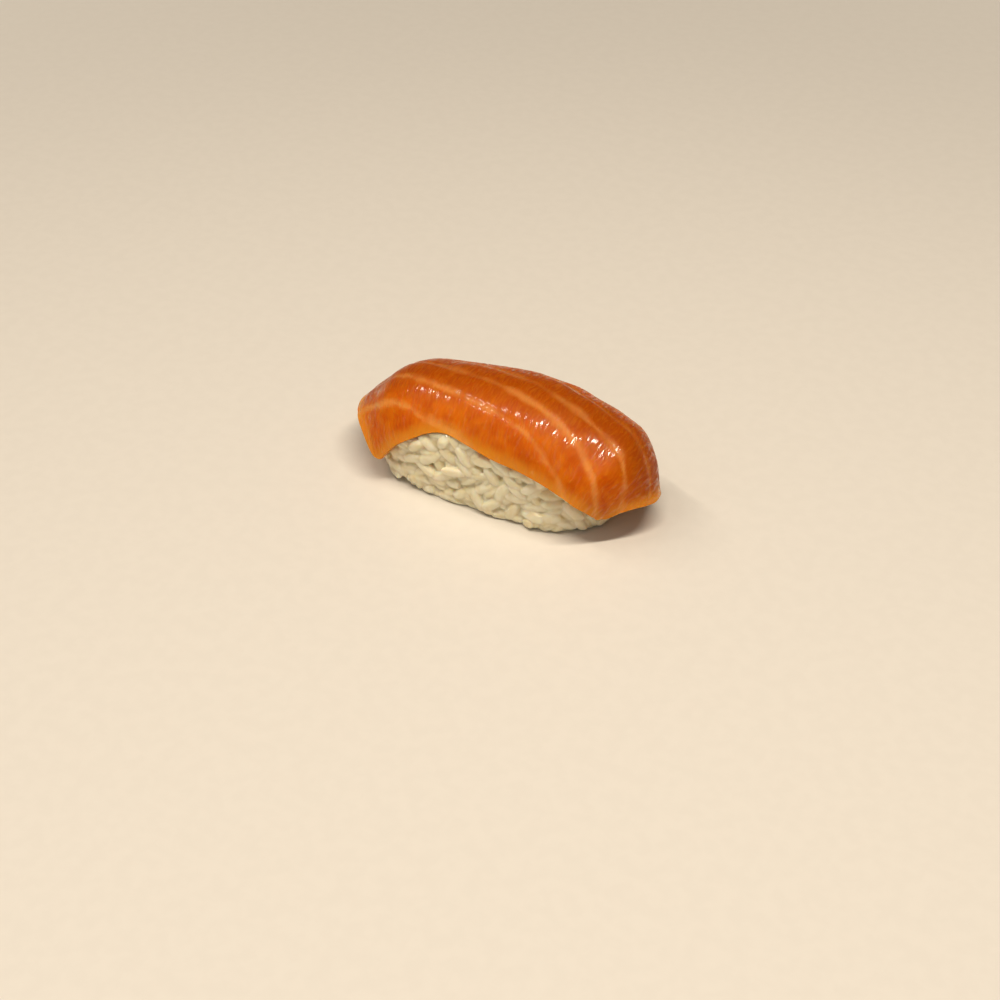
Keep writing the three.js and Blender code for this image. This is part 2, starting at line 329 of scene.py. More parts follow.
def ripples(places, size, seed):
    """Soft random ripples between about -1 and 1, as a sum of plane waves of roughly that size."""
    source = np.random.default_rng(seed)
    total = 0
    for _ in range(RIPPLES["waves"]):
        heading = source.normal(size=places.shape[-1])
        heading *= source.uniform(*RIPPLES["fineness"]) / np.linalg.norm(heading)
        total = total + np.sin(2 * np.pi * (places @ heading) / size + source.uniform(0, 2 * np.pi))
    return total / math.sqrt(RIPPLES["waves"] / 2) / RIPPLES["peak"]


def slice_relief(along, across, from_edge):
    """How far the upper face stands proud of the plain drape."""
    flat = np.stack([along, across], -1)
    layer, spacing = fat_layers(along, across)
    off_line = (layer - np.round(layer)) * spacing
    furrow = -RELIEF["furrow"] * np.exp(-((off_line / RELIEF["furrow_width"]) ** 2))
    swell = RELIEF["swell"] * ripples(flat, RELIEF["swell_size"], seed=3)
    slanted = np.stack([along + RELIEF["fibre_slant"] * across, across / RELIEF["fibre_stretch"]], -1)
    fibre = RELIEF["fibre"] * ripples(slanted, RELIEF["fibre_size"], seed=8)
    patches = 0.5 + 0.5 * np.clip(ripples(flat, RELIEF["patch_size"], seed=5), -1, 1)
    return furrow + swell + fibre * patches * smooth_step(from_edge, 0, RELIEF["smooth_edge"])


proud = slice_relief(along, across, from_edge)
print("relief: from", proud.min().round(2), "to", proud.max().round(2), "mm")


# %% Faces of a slab
def edge_cells(rows, columns):
    """The row and the column of each point, once round the edge of a grid."""
    edge = [(i, 0) for i in range(rows - 1)]
    edge += [(rows - 1, j) for j in range(columns - 1)]
    edge += [(i, columns - 1) for i in range(rows - 1, 0, -1)]
    edge += [(0, j) for j in range(columns - 1, 0, -1)]
    return np.array(edge).T


def slab_faces(rows, columns, rim):
    """Faces of an upper and a lower grid, and of the rim's rings between their edges."""
    upper = np.arange(rows * columns).reshape(rows, columns)
    lower = upper + upper.size
    i, j = edge_cells(rows, columns)
    rings = [upper[i, j]]
    rings += [2 * upper.size + k * len(i) + np.arange(len(i)) for k in range(rim - 1)]
    rings.append(lower[i, j])
    faces = []
    for sheet, turned_over in ((upper, False), (lower, True)):
        corners = [sheet[:-1, :-1], sheet[1:, :-1], sheet[1:, 1:], sheet[:-1, 1:]]
        faces.append(np.stack(corners[::-1] if turned_over else corners, -1).reshape(-1, 4))
    for high, low in zip(rings, rings[1:]):
        faces.append(np.stack([high, low, np.roll(low, -1), np.roll(high, -1)], -1))
    return np.concatenate(faces).tolist()


# %% A slab over the drape
def slab(
    cells_along, cells_across, rim=1, bulge=0.0, relief=False, raised=0.0, sunk=0.0, grow=0.0, lift=0.0
):
    """A closed slab over the drape: its points, its faces and its flat places with depths.

    Its upper side can be raised and its lower side sunk. Grow adds a margin all round, and lift raises
    the lower side of that margin. The rim has this many steps from side to side, and bulges outwards.
    """
    along, across, from_edge = flat_places(cells_along, cells_across, grow)
    surface = draped(along, across)
    out = normals(along, across)
    proud = slice_relief(along, across, from_edge) if relief else 0 * along
    in_margin = np.clip(1 - from_edge / grow, 0, 1) if grow else 0
    depth = thickness_at(from_edge - grow) + sunk - lift * in_margin**2
    top = surface + out * (raised + proud)[..., None]
    bottom = surface - out * depth[..., None]
    rows, columns = along.shape
    i, j = edge_cells(rows, columns)
    inner = (np.clip(i, 1, rows - 2), np.clip(j, 1, columns - 2))
    middle = (top[i, j] + bottom[i, j]) / 2
    half = (top[i, j] - bottom[i, j]) / 2
    outward = middle - (top[inner] + bottom[inner]) / 2
    outward /= np.linalg.norm(outward, axis=-1, keepdims=True)
    points = [top.reshape(-1, 3), bottom.reshape(-1, 3)]
    flat = [np.stack([along, across, side], -1).reshape(-1, 3) for side in (0 * along, depth)]
    for k in range(1, rim):
        turn = math.pi * k / rim
        points.append(middle + half * math.cos(turn) + outward * bulge * math.sin(turn))
        share = (1 - math.cos(turn)) / 2
        flat.append(np.stack([along[i, j], across[i, j], depth[i, j] * share], -1))
    return np.concatenate(points), slab_faces(rows, columns, rim), np.concatenate(flat)


# %% Build the slice
GRID = {"along": 400, "across": 106, "rim": 6}
points, faces, flat = slab(GRID["along"], GRID["across"], GRID["rim"], RIM_BULGE, relief=True)
lowest, highest = (np.array(corner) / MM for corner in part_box("salmon"))
middle = (points.min(0) + points.max(0)) / 2
TO_FRAME = ((lowest + highest) / 2 - middle) * [1, 1, 0]
salmon = mesh_object("salmon_slice", points + TO_FRAME, faces)
print("salmon:", triangles_of(salmon.data), "triangles, moved by", TO_FRAME.round(3), "mm")


# %% Give the slice its attributes
def store(piece, name, values):
    """Keeps a number or a vector for each point, for the materials to read."""
    values = np.asarray(values, float)
    kind, field = ("FLOAT", "value") if values.ndim == 1 else ("FLOAT_VECTOR", "vector")
    piece.data.attributes.new(name, kind, "POINT").data.foreach_set(field, values.ravel())


layer, spacing = fat_layers(flat[:, 0], flat[:, 1])
from_edge = flat_places(GRID["along"], GRID["across"])[2].ravel()
on_rim = np.zeros(len(flat) - 2 * len(from_edge))
store(salmon, "fat_layer", layer)
store(salmon, "fat_spacing", spacing)
store(salmon, "from_edge", np.concatenate([from_edge, from_edge, on_rim]))
store(salmon, "flat", flat)
print("fat layers from", layer.min().round(1), "to", layer.max().round(1))

# %% [markdown]
# ## The loaf
# Seen from above the loaf is an oval with squarish ends. Its sides swell a little above the foot and
# close over at the top, where the fish then presses them down, and nothing pressed by hand is quite
# even. A smooth closed form of that shape comes first. It could be sculpted, but as rings of points
# that follow a formula it can be made again further in, for the core behind the grains. It isn't
# shown: the grains are scattered on it.

# %% Driving dimensions of the loaf, in millimetres
LOAF = {"centre": -1, "left": 26.5, "right": 24.4, "half_width": 12.9, "height": 25}
LOAF_SQUARENESS = {"left": 4.4, "right": 2.4}
WIDEST_AT = 7
SHOULDER = 3
FOOT_TUCK = 0.025
FOOT_ROUNDING = {"size": 0.06, "height": 1.8}
SPILL = {"x": 12, "width": 3, "size": 1.5, "height": 5}
UNEVEN = {"depth": 0.3, "size": 9}


# %% Faces of a stack of rings
def stack_faces(start, end, first, around, rings):
    """Faces of a stack of rings of points: quads between them, and a fan to a point at each end."""
    ring = first + np.arange(around)
    following = np.roll(ring, -1)
    faces = np.stack([0 * ring + start, following, ring], -1).tolist()
    for k in range(rings - 1):
        low, high = k * around, (k + 1) * around
        faces += np.stack([ring + low, following + low, following + high, ring + high], -1).tolist()
    last = (rings - 1) * around
    return faces + np.stack([0 * ring + end, ring + last, following + last], -1).tolist()


# %% The loaf's form
def loaf_ring(angle, level, inset=0.0):
    """Points of the loaf's skin round one level, in the slice's own coordinates."""
    cos, sin = np.cos(angle), np.sin(angle)
    right = cos > 0
    power = np.where(right, LOAF_SQUARENESS["right"], LOAF_SQUARENESS["left"])
    half_length = np.where(right, LOAF["right"], LOAF["left"]) - inset
    reach = (np.abs(cos) ** power + np.abs(sin) ** power) ** (-1 / power)
    above = max(0, level - WIDEST_AT) / (LOAF["height"] - inset - WIDEST_AT)
    below = max(0, 1 - level / WIDEST_AT)
    undercut = FOOT_ROUNDING["size"] * max(0, 1 - level / FOOT_ROUNDING["height"]) ** 2
    narrowing = max(0, 1 - above**SHOULDER) ** (1 / SHOULDER) - FOOT_TUCK * below**2 - undercut
    x = LOAF["centre"] + half_length * reach * cos * narrowing
    spilt = SPILL["size"] * np.exp(-(((x - SPILL["x"]) / SPILL["width"]) ** 2)) * (sin < 0)
    y = (LOAF["half_width"] - inset) * reach * sin * narrowing
    y = y - spilt * math.exp(-((level / SPILL["height"]) ** 2))
    ring = np.stack([x, y, np.full_like(x, level)], -1)
    proud = UNEVEN["depth"] * ripples(ring, UNEVEN["size"], seed=4) - UNEVEN["depth"] / 2
    return ring + proud[:, None] * np.stack([cos, sin, 0 * cos], -1)


def loaf_form(name, inset=0.0, around=120, levels=34, foot=0.0):
    """The closed loaf before the fish presses it, this far inside its skin."""
    angles = np.linspace(0, 2 * np.pi, around, endpoint=False)
    top = LOAF["height"] - inset
    heights = foot + (top - foot) * np.sin(np.linspace(0, np.pi / 2, levels + 1))
    rings = [loaf_ring(angles, level, inset) for level in heights[:-1]]
    ends = [[LOAF["centre"], 0, foot], [LOAF["centre"], 0, top]]
    points = np.concatenate([ends, *rings])
    faces = stack_faces(start=0, end=1, first=2, around=around, rings=levels)
    return mesh_object(name, points + TO_FRAME, faces)


widest = np.ptp(loaf_ring(np.linspace(0, 2 * np.pi, 120), WIDEST_AT), axis=0).round(1)
print("loaf:", widest[0], "mm long and", widest[1], "mm wide at its widest")

# %% [markdown]
# ## What the fish takes away
# The fish sits in the rice, so the rice has to end where the fish begins. Closed forms are cut out of
# it: the slice itself, a hair larger all round, everything above the slice, and what reaches below the
# table. Just outside the slice's edge the rice gives way too. A cut there would leave sharp edges on
# the grains, so a wider slab cuts the loaf's form alone, and the grains are squeezed towards that form
# later on.


# %% How one mesh is cut from another
def make_plain(piece):
    """Turns what the modifiers give into the piece's own mesh, and removes them."""
    depsgraph = bpy.context.evaluated_depsgraph_get()
    made = bpy.data.meshes.new_from_object(piece.evaluated_get(depsgraph))
    piece.modifiers.clear()
    piece.data = made


def cut_away(piece, *cutters):
    """Cuts closed meshes out of another, for good."""
    for cutter in cutters:
        cut = piece.modifiers.new("Cut", "BOOLEAN")
        cut.operation = "DIFFERENCE"
        cut.solver = "MANIFOLD"
        cut.object = cutter
    make_plain(piece)


# %% The forms that cut
CONTACT_GAP = 0.03
RAISED = 30
BESIDE = {"reach": 4.0, "below_face": 1.0, "lift": 1.8}
CUTTER_CELLS = {"along": 150, "across": 40, "rim": 4}
TABLE = {"reach": 60, "depth": 20}


def slab_object(name, **sizes):
    points, faces, _ = slab(CUTTER_CELLS["along"], CUTTER_CELLS["across"], **sizes)
    return mesh_object(name, points + TO_FRAME, faces)


def box_object(name, low, high):
    """A box between two opposite corners."""
    x, y, z = zip(low, high)
    points = [(x[k & 1], y[k >> 1 & 1], z[k >> 2]) for k in range(8)]
    faces = [(0, 2, 3, 1), (4, 5, 7, 6), (0, 1, 5, 4), (1, 3, 7, 5), (3, 2, 6, 7), (2, 0, 4, 6)]
    return mesh_object(name, points, faces, smooth=False)


slot = slab_object(
    "slot",
    rim=CUTTER_CELLS["rim"],
    bulge=RIM_BULGE + CONTACT_GAP,
    raised=CONTACT_GAP,
    sunk=CONTACT_GAP,
)
above_slice = slab_object("above_slice", raised=RAISED, sunk=CONTACT_GAP)
beside_slice = slab_object(
    "beside_slice",
    raised=RAISED,
    sunk=BESIDE["below_face"] - THICKNESS["edge"],
    grow=BESIDE["reach"],
    lift=BESIDE["lift"],
)
reach, depth = TABLE["reach"], TABLE["depth"]
under_table = box_object("under_table", (-reach, -reach, -depth), (reach, reach, 0))
print("cutters:", slot.name, above_slice.name, beside_slice.name, under_table.name)

# %% Cut the loaf's forms
pressed_form = loaf_form("pressed_form")
cut_away(pressed_form, beside_slice)
skin = loaf_form("skin")
cut_away(skin, above_slice)
print("loaf skin:", triangles_of(skin.data), "triangles")

# %% [markdown]
# ## One grain
# A cooked grain of sushi rice is a plump spindle with blunt ends, a little flatter than it is wide and
# slightly bent. A stretched sphere would come close, but its ends are too pointed. So rings of points
# follow a formula with blunt ends, and the same formula tells later which grain a place belongs to.
# Hundreds of copies are coming, so one grain has only 80 faces.

# %% Driving dimensions of a grain, in millimetres
GRAIN = {"length": 5.9, "width": 2.7, "thickness": 2.4, "bluntness": 2.5, "bend": 0.25}
GRAIN_CELLS = {"around": 10, "rings": 7}


def grain_mesh(name):
    """A bent spindle along X, as rings closed by a point at each end."""
    around = GRAIN_CELLS["around"]
    shares = np.sin(np.linspace(-np.pi / 2, np.pi / 2, GRAIN_CELLS["rings"] + 2))[1:-1]
    girth = (1 - np.abs(shares) ** GRAIN["bluntness"]) ** (1 / GRAIN["bluntness"])
    turn = np.linspace(0, 2 * np.pi, around, endpoint=False)
    across, up = (np.outer(girth, wave(turn)).ravel() for wave in (np.cos, np.sin))
    rings = np.stack([np.repeat(shares, around), across, up], -1)
    points = np.concatenate([[[-1, 0, 0]], rings, [[1, 0, 0]]])
    points = points * [GRAIN["length"] / 2, GRAIN["width"] / 2, GRAIN["thickness"] / 2]
    points[:, 1] += GRAIN["bend"] * np.cos(np.pi * points[:, 0] / GRAIN["length"])
    end = len(points) - 1
    faces = stack_faces(start=0, end=end, first=1, around=around, rings=GRAIN_CELLS["rings"])
    return mesh_object(name, points, faces)


grain = grain_mesh("grain")
print("one grain:", triangles_of(grain.data), "triangles")

# %% [markdown]
# ## Scattering the grains
# Placing hundreds of grains by hand would take a day. Geometry Nodes do it by rule. Points are spread
# over the loaf's skin about a grain's width apart, each point gets a grain that lies along the skin
# and is turned and leaned at random, and a seed keeps the draw the same every time. The same group is
# used three times: once for the grains that show, and twice deeper in, to close the gaps between them.
# A few helpers add the nodes. A socket takes either a constant or the output of another node.


# %% Node helpers
def fill(tree, socket, value):
    """Links a socket to another node's output, or sets it to a constant."""
    if isinstance(value, bpy.types.NodeSocket):
        tree.links.new(value, socket)
    else:
        socket.default_value = value


def add(tree, kind, values=None, **settings):
    """Adds a node. Values are keyed by a socket's name or number."""
    node = tree.nodes.new(kind)
    for name, setting in settings.items():
        setattr(node, name, setting)
    for key, value in (values or {}).items():
        fill(tree, node.inputs[key], value)
    return node


def calculate(tree, operation, *values):
    """A Math node's result."""
    kind = "ShaderNodeMath"
    return add(tree, kind, dict(enumerate(values)), operation=operation).outputs[0]


def vector(tree, x=0.0, y=0.0, z=0.0):
    return add(tree, "ShaderNodeCombineXYZ", {0: x, 1: y, 2: z}).outputs[0]


def vector_math(tree, operation, *values):
    """A Vector Math node's result."""
    kind = "ShaderNodeVectorMath"
    return add(tree, kind, dict(enumerate(values)), operation=operation).outputs[0]


def scaled(tree, value, factor):
    """A vector times a number."""
    values = {0: value, "Scale": factor}
    return add(tree, "ShaderNodeVectorMath", values, operation="SCALE").outputs[0]


# %% A group of nodes
def new_group(name, kind, inputs, outputs):
    """An empty node group with named sockets, and its input and output nodes."""
    tree = bpy.data.node_groups.new(name, kind)
    for label, socket_type, default in inputs:
        item = tree.interface.new_socket(label, in_out="INPUT", socket_type=socket_type)
        if default is not None:
            item.default_value = default
    for label, socket_type in outputs:
        tree.interface.new_socket(label, in_out="OUTPUT", socket_type=socket_type)
    return tree, tree.nodes.new("NodeGroupInput").outputs, tree.nodes.new("NodeGroupOutput").inputs


# %% How a grain lies
DRAWS = {"turn": 1, "lean": 2, "roll": 3, "depth": 4, "sizes": (5, 6, 7)}


def random_between(tree, low, high, seed, draw):
    """A random number for each point, between two values. Each draw has a seed of its own."""
    values = {2: low, 3: high, "Seed": calculate(tree, "ADD", seed, draw)}
    return add(tree, "FunctionNodeRandomValue", values, data_type="FLOAT").outputs[1]


def either_way(tree, limit, seed, draw):
    """A random number for each point, up to the limit either side of zero."""
    return random_between(tree, calculate(tree, "MULTIPLY", limit, -1.0), limit, seed, draw)


def lying_rotation(tree, normal, given):
    """Turns a grain flat on the skin and level, and then by its random turn, lean and roll."""
    seed = given["Seed"]
    level = vector_math(tree, "CROSS_PRODUCT", (0, 0, 1), normal)
    flat_on = add(tree, "FunctionNodeAlignRotationToVector", {"Vector": normal}, axis="Z")
    values = {"Rotation": flat_on.outputs[0], "Vector": level}
    along = add(tree, "FunctionNodeAlignRotationToVector", values, axis="X", pivot_axis="Z")
    rotation = along.outputs[0]
    turn = vector(tree, z=either_way(tree, given["Turn"], seed, DRAWS["turn"]))
    lean = vector(tree, y=either_way(tree, given["Lean"], seed, DRAWS["lean"]))
    roll = vector(tree, x=random_between(tree, 0.0, 2 * math.pi, seed, DRAWS["roll"]))
    for step in (turn, lean, roll):
        step = add(tree, "FunctionNodeEulerToRotation", {0: step}).outputs[0]
        values = {"Rotation": rotation, "Rotate By": step}
        rotation = add(tree, "FunctionNodeRotateRotation", values, rotation_space="LOCAL").outputs[0]
    return rotation


# %% The group that lays one layer of grains
LAYER_INPUTS = [
    ("Skin", "NodeSocketGeometry", None),
    ("Grain", "NodeSocketGeometry", None),
    ("Spacing", "NodeSocketFloat", 2.6 * MM),
    ("Depth", "NodeSocketFloat", 1.0 * MM),
    ("Depth Spread", "NodeSocketFloat", 0.3 * MM),
    ("Turn", "NodeSocketFloat", 1.25),
    ("Lean", "NodeSocketFloat", 0.3),
    ("Size Spread", "NodeSocketFloat", 0.1),
    ("Seed", "NodeSocketInt", 1),
]
POINT_DENSITY = 2e6


def grain_layer_group():
    """The group that spreads points on the skin and lays a grain at each, a little below it."""
    outputs = [("Grains", "NodeSocketGeometry")]
    tree, given, result = new_group("Grain layer", "GeometryNodeTree", LAYER_INPUTS, outputs)
    seed = given["Seed"]
    values = {
        "Mesh": given["Skin"],
        "Distance Min": given["Spacing"],
        "Density Max": POINT_DENSITY,
        "Seed": seed,
    }
    spread = add(tree, "GeometryNodeDistributePointsOnFaces", values, distribute_method="POISSON")
    normal = spread.outputs["Normal"]
    deeper = either_way(tree, given["Depth Spread"], seed, DRAWS["depth"])
    depth = calculate(tree, "ADD", given["Depth"], deeper)
    inward = scaled(tree, normal, calculate(tree, "MULTIPLY", depth, -1.0))
    values = {"Geometry": spread.outputs["Points"], "Offset": inward}
    sunk = add(tree, "GeometryNodeSetPosition", values)
    larger = [either_way(tree, given["Size Spread"], seed, draw) for draw in DRAWS["sizes"]]
    values = {
        "Points": sunk.outputs[0],
        "Instance": given["Grain"],
        "Rotation": lying_rotation(tree, normal, given),
        "Scale": vector(tree, *[calculate(tree, "ADD", 1.0, share) for share in larger]),
    }
    placed = add(tree, "GeometryNodeInstanceOnPoints", values)
    fill(tree, result["Grains"], placed.outputs[0])
    return tree


grain_layer = grain_layer_group()
print(grain_layer.name, "has", len(grain_layer.nodes), "nodes")

# %% The tree that dresses the loaf
SCATTER = {
    "Outer Spacing": 3.3 * MM,
    "Outer Depth": 0.85 * MM,
    "Middle Spacing": 2.8 * MM,
    "Middle Depth": 1.4 * MM,
    "Inner Spacing": 2.5 * MM,
    "Inner Depth": 2.1 * MM,
}
SCATTER_SEED = 12
SEED_SHIFTS = {"Inner": 100, "Middle": 50, "Outer": 0}


def dressing_tree(layer_group):
    """The tree that lays the three layers of grains, makes them real and gives them their material."""
    inputs = [("Skin", "NodeSocketGeometry", None), ("Grain", "NodeSocketObject", None)]
    inputs += [(name, "NodeSocketFloat", value) for name, value in SCATTER.items()]
    inputs += [("Seed", "NodeSocketInt", SCATTER_SEED), ("Material", "NodeSocketMaterial", None)]
    outputs = [("Grains", "NodeSocketGeometry")]
    tree, given, result = new_group("Rice loaf", "GeometryNodeTree", inputs, outputs)
    shape = add(tree, "GeometryNodeObjectInfo", {"Object": given["Grain"]}).outputs["Geometry"]
    joined = tree.nodes.new("GeometryNodeJoinGeometry")
    for name, shift in SEED_SHIFTS.items():
        values = {
            "Skin": given["Skin"],
            "Grain": shape,
            "Spacing": given[f"{name} Spacing"],
            "Depth": given[f"{name} Depth"],
            "Seed": calculate(tree, "ADD", given["Seed"], shift),
        }
        layer = add(tree, "GeometryNodeGroup", values, node_tree=layer_group)
        fill(tree, joined.inputs[0], layer.outputs[0])
    real = add(tree, "GeometryNodeRealizeInstances", {"Geometry": joined.outputs[0]})
    values = {"Geometry": real.outputs[0], "Material": given["Material"]}
    fill(tree, result["Grains"], add(tree, "GeometryNodeSetMaterial", values).outputs[0])
    return tree


grains_tree = dressing_tree(grain_layer)
print(grains_tree.name, "has", len(grains_tree.nodes), "nodes and seed", SCATTER_SEED)


# %% Dress the loaf
def dress(name, base, tree, values):
    """A piece whose mesh is what the tree makes of the base."""
    piece = new_object(name, base.data.copy())
    modifier = piece.modifiers.new("Dress", "NODES")
    modifier.node_group = tree
    for item in tree.interface.items_tree:
        if item.in_out == "INPUT" and item.name in values:
            modifier[item.identifier] = values[item.name]
    make_plain(piece)
    return piece


rice_material = bpy.data.materials.new("Cooked rice")
values = {"Grain": grain, "Material": rice_material}
rice = dress("rice_loaf", skin, grains_tree, values)
grain_count = len(rice.data.vertices) // len(grain.data.vertices)
print(grain_count, "grains,", triangles_of(rice.data), "triangles")

# %% [markdown]
# ## Pressing and fusing
# Loose grains stand as proud of the loaf as they fell, and where two cross, a hard line shows. Pressed
# rice is flatter, and its starch glues each grain to the next in a soft crease. So the parts that
# stand out are squeezed back towards the skin, a voxel remesh turns all grains and a core behind them
# into one closed surface, and a light smoothing softens its creases.

# %% Squeeze the grains
SQUEEZED_TO = 0.5


def squeeze(piece, form, limit):
    """Draws whatever stands out of a form back, so that none of it is further out than this."""
    tree = BVHTree.FromObject(form, bpy.context.evaluated_depsgraph_get())
    points = points_of(piece.data)
    moved = 0
    for index, point in enumerate(points):
        nearest, normal, _, _ = tree.find_nearest(Vector(point * MM))
        out = (Vector(point * MM) - nearest).dot(normal) / MM
        if out > 0:
            points[index] -= np.array(normal) * (out - limit * (1 - math.exp(-out / limit)))
            moved += 1
    piece.data.vertices.foreach_set("co", (points * MM).ravel())
    return moved


loose_grains = rice.data.copy()
print("squeezed", squeeze(rice, pressed_form, SQUEEZED_TO), "points of", len(rice.data.vertices))

# %% Fuse them over the core
CORE = {"inset": 1.6, "foot": 0.3}
FUSE = {"voxel": 0.232, "smoothing": 0.5, "rounds": 2}


def take_in(piece, other):
    """Adds another object's mesh to a piece's."""
    together = bmesh.new()
    together.from_mesh(piece.data)
    together.from_mesh(other.data)
    together.to_mesh(piece.data)
    together.free()


def fuse(piece):
    """Turns everything in a piece into one closed skin, and softens its creases."""
    remesh = piece.modifiers.new("Fuse", "REMESH")
    remesh.mode = "VOXEL"
    remesh.voxel_size = FUSE["voxel"] * MM
    remesh.use_smooth_shade = True
    smooth = piece.modifiers.new("Soften", "SMOOTH")
    smooth.factor = FUSE["smoothing"]
    smooth.iterations = FUSE["rounds"]
    make_plain(piece)


core = loaf_form("core", **CORE)
take_in(rice, core)
fuse(rice)
print("fused:", triangles_of(rice.data), "triangles")

# %% [markdown]
# ## Grooves between the grains
# Fusing hides where one grain ends and the next begins, wherever two touch side by side. On real rice
# each grain keeps its own skin, so a fine groove shows there. Every grain is the same shape, moved and
# turned, so a point can be carried back into each grain's own frame, where one formula says how far
# inside or outside it is. The grain with the lowest result owns the point, and where the two lowest are
# alike, two grains meet. That gives the grooves here, and later each grain's tone for its material.

# %% Which grain owns a point
CANDIDATES = 12
HALF_WIDTH = GRAIN["width"] / 2


def grain_frames(grains):
    """Each loose grain's centre, and the matrix that carries a point into the grain's own frame."""
    shape = points_of(grain.data)
    placed = points_of(grains).reshape(-1, len(shape), 3)
    matrices = np.linalg.pinv(np.c_[shape, np.ones(len(shape))]) @ placed
    return matrices[:, 3], np.linalg.inv(matrices[:, :3])


def grain_reach(local):
    """1 on the skin of a grain in its own frame, less inside it and more outside."""
    x, y, z = np.moveaxis(local, -1, 0)
    y = y - GRAIN["bend"] * np.cos(np.pi * x / GRAIN["length"])
    girth = np.hypot(2 * y / GRAIN["width"], 2 * z / GRAIN["thickness"])
    power = GRAIN["bluntness"]
    return (np.abs(2 * x / GRAIN["length"]) ** power + girth**power) ** (1 / power)


def owners(points, centres, into_grain):
    """The grain that owns each point, and how far the point is from the next grain, in millimetres."""
    tree = KDTree(len(centres))
    for index, centre in enumerate(centres):
        tree.insert(centre, index)
    tree.balance()
    near = np.array([[index for _, index, _ in tree.find_n(point, CANDIDATES)] for point in points])
    local = np.einsum("pci,pcij->pcj", points[:, None] - centres[near], into_grain[near])
    reach = grain_reach(local)
    order = np.argsort(reach, axis=1)
    first, second = np.take_along_axis(reach, order[:, :2], 1).T
    return np.take_along_axis(near, order[:, :1], 1)[:, 0], (second - first) * HALF_WIDTH


frames = grain_frames(loose_grains)
owner, clear_of_next = owners(points_of(rice.data), *frames)
print("grains that show:", len(set(owner)), "of", grain_count)

# %% Press the grooves in
GROOVE = {"depth": 0.22, "shoulder": 0.5}
GLUED = {"size": 7.0, "least": 0.5}


def press_grooves(piece, clear_of_next):
    """Sinks the skin where two grains meet, and less where starch has glued them together."""
    out = np.zeros(3 * len(piece.data.vertices))
    piece.data.vertex_normals.foreach_get("vector", out)
    share = np.clip(1 - clear_of_next / GROOVE["shoulder"], 0, 1)
    points = points_of(piece.data)
    open_to = np.clip(0.5 + 0.5 * ripples(points, GLUED["size"], seed=9), GLUED["least"], 1)
    depth = GROOVE["depth"] * open_to * (1 - np.sqrt(1 - share**2))
    points -= depth[:, None] * out.reshape(-1, 3)
    piece.data.vertices.foreach_set("co", (points * MM).ravel())


press_grooves(rice, clear_of_next)
print((clear_of_next < GROOVE["shoulder"]).sum(), "points lie between the shoulders of a groove")


# %% Cut out what the fish takes
def keep_largest_part(piece):
    """Drops scraps that hang loose and bubbles sealed inside, and says how many there were."""
    together = bmesh.new()
    together.from_mesh(piece.data)
    unseen = set(together.verts)
    parts = []
    while unseen:
        part, front = set(), [unseen.pop()]
        while front:
            vertex = front.pop()
            part.add(vertex)
            linked = {edge.other_vert(vertex) for edge in vertex.link_edges} & unseen
            unseen -= linked
            front += linked
        parts.append(part)
    largest = max(parts, key=len)
    bmesh.ops.delete(together, geom=[v for v in together.verts if v not in largest], context="VERTS")
    together.to_mesh(piece.data)
    together.free()
    return len(parts) - 1


cut_away(rice, slot, above_slice, under_table)
dropped = keep_largest_part(rice)
print("rice:", triangles_of(rice.data), "triangles, after", dropped, "loose parts were dropped")

# %% What the rice's material needs to know
TONE_SEED = 11
tones = np.random.default_rng(TONE_SEED).uniform(size=grain_count)
owner, clear_of_next = owners(points_of(rice.data), *frames)
store(rice, "grain_tone", tones[owner])
store(rice, "clear_of_next", clear_of_next)
for spare in (grain, skin, core, pressed_form, slot, above_slice, beside_slice, under_table):
    bpy.data.objects.remove(spare)
print("pieces:", rice.name, "and", salmon.name)

# %% [markdown]
# ## Shared finishes
# Both foods are uneven in tone and carry an uneven film of moisture. Each effect is a node group with
# named inputs, so that the materials below place the same group with values of their own.


# %% Shader helpers
def linear(red, green, blue):
    """A display colour, 0 to 255 a channel, as the linear colour that a shader takes."""
    shares = [channel / 255 for channel in (red, green, blue)]
    return (*[s / 12.92 if s <= 0.04045 else ((s + 0.055) / 1.055) ** 2.4 for s in shares], 1.0)


def remap(tree, value, low, high, to_low=0.0, to_high=1.0):
    """Maps a range smoothly onto another, and holds it at both ends."""
    values = dict(enumerate([value, low, high, to_low, to_high]))
    return add(tree, "ShaderNodeMapRange", values, interpolation_type="SMOOTHSTEP").outputs[0]


def mix(tree, share, first, second):
    """A colour between two colours."""
    return add(tree, "ShaderNodeMix", {0: share, 6: first, 7: second}, data_type="RGBA").outputs[2]


def noise(tree, place, size, detail=2.0):
    """Soft noise between about 0.3 and 0.7, whose spots are about this size."""
    values = {"Vector": place, "Scale": calculate(tree, "DIVIDE", 1.0, size), "Detail": detail}
    return add(tree, "ShaderNodeTexNoise", values).outputs[0]


def attribute(tree, name, output="Fac"):
    """A value that the mesh keeps for each point."""
    return add(tree, "ShaderNodeAttribute", attribute_name=name).outputs[output]


def millimetres(tree):
    """The place on the object, in millimetres."""
    return scaled(tree, tree.nodes.new("ShaderNodeTexCoord").outputs["Object"], 1 / MM)


def bumped(tree, shader, height, strength, distance):
    """Gives the shader a bump, where a height of 1 stands for this distance in millimetres."""
    values = {"Strength": strength, "Distance": distance * MM, "Height": height}
    fill(tree, shader.inputs["Normal"], add(tree, "ShaderNodeBump", values).outputs[0])


# %% The shared groups
# Most of the noise lies between these limits.
SPOTS = (0.32, 0.68)
PATCHES = (0.35, 0.65)


